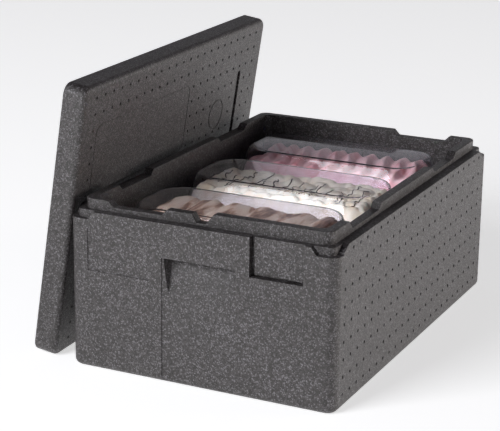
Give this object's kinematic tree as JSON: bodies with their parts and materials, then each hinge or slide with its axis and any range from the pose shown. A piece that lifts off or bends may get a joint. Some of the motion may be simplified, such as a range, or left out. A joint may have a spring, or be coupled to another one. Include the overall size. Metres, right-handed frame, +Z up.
{
  "type": "insulated food carrier",
  "caption": "Top-loading foam carrier with a leaning lid and domed, clear-covered ice cream pans that lift out one by one.",
  "frame": {"origin": "centre of the box's flat base, on the floor", "axes": "+Z up, +Y along the box's long side away from the near short end, +X towards the long side away from the lid"},
  "size_m": [0.4868, 0.6104, 0.3993],
  "materials": {
    "black_foam": "beaded matt",
    "clear_pan": "clear gloss",
    "clear_cover": "clear gloss",
    "caramel_ice": "soft",
    "cream_ice": "soft",
    "strawberry_ice": "soft",
    "chocolate": "gloss"
  },
  "bodies": {
    "box": {"box_body": "black_foam"},
    "lid": {"lid_body": "black_foam"},
    "pan_front": {"pan_front": "clear_pan", "gelato_caramel": "caramel_ice"},
    "cover_front": {"cover_front": "clear_cover"},
    "pan_middle": {"pan_middle": "clear_pan", "gelato_cream": "cream_ice", "chocolate_drizzle": "chocolate"},
    "cover_middle": {"cover_middle": "clear_cover"},
    "pan_rear": {"pan_rear": "clear_pan", "gelato_strawberry": "strawberry_ice"},
    "cover_rear": {"cover_rear": "clear_cover"}
  },
  "joints": [
    {"name": "lid_tip", "type": "hinge", "parent": "box", "child": "lid", "pos_m": [-0.27918, 0.00789, 0], "axis": [0.0309, -0.9995, 0], "range_deg": [0, 98.45]},
    {"name": "pan_front_lift", "type": "slide", "parent": "box", "child": "pan_front", "axis": [0, 0, 1], "range_m": [0, 0.26]},
    {"name": "cover_front_lift", "type": "slide", "parent": "pan_front", "child": "cover_front", "axis": [0, 0, 1], "range_m": [0, 0.12]},
    {"name": "pan_middle_lift", "type": "slide", "parent": "box", "child": "pan_middle", "axis": [0, 0, 1], "range_m": [0, 0.26]},
    {"name": "cover_middle_lift", "type": "slide", "parent": "pan_middle", "child": "cover_middle", "axis": [0, 0, 1], "range_m": [0, 0.12]},
    {"name": "pan_rear_lift", "type": "slide", "parent": "box", "child": "pan_rear", "axis": [0, 0, 1], "range_m": [0, 0.26]},
    {"name": "cover_rear_lift", "type": "slide", "parent": "pan_rear", "child": "cover_rear", "axis": [0, 0, 1], "range_m": [0, 0.12]}
  ]
}
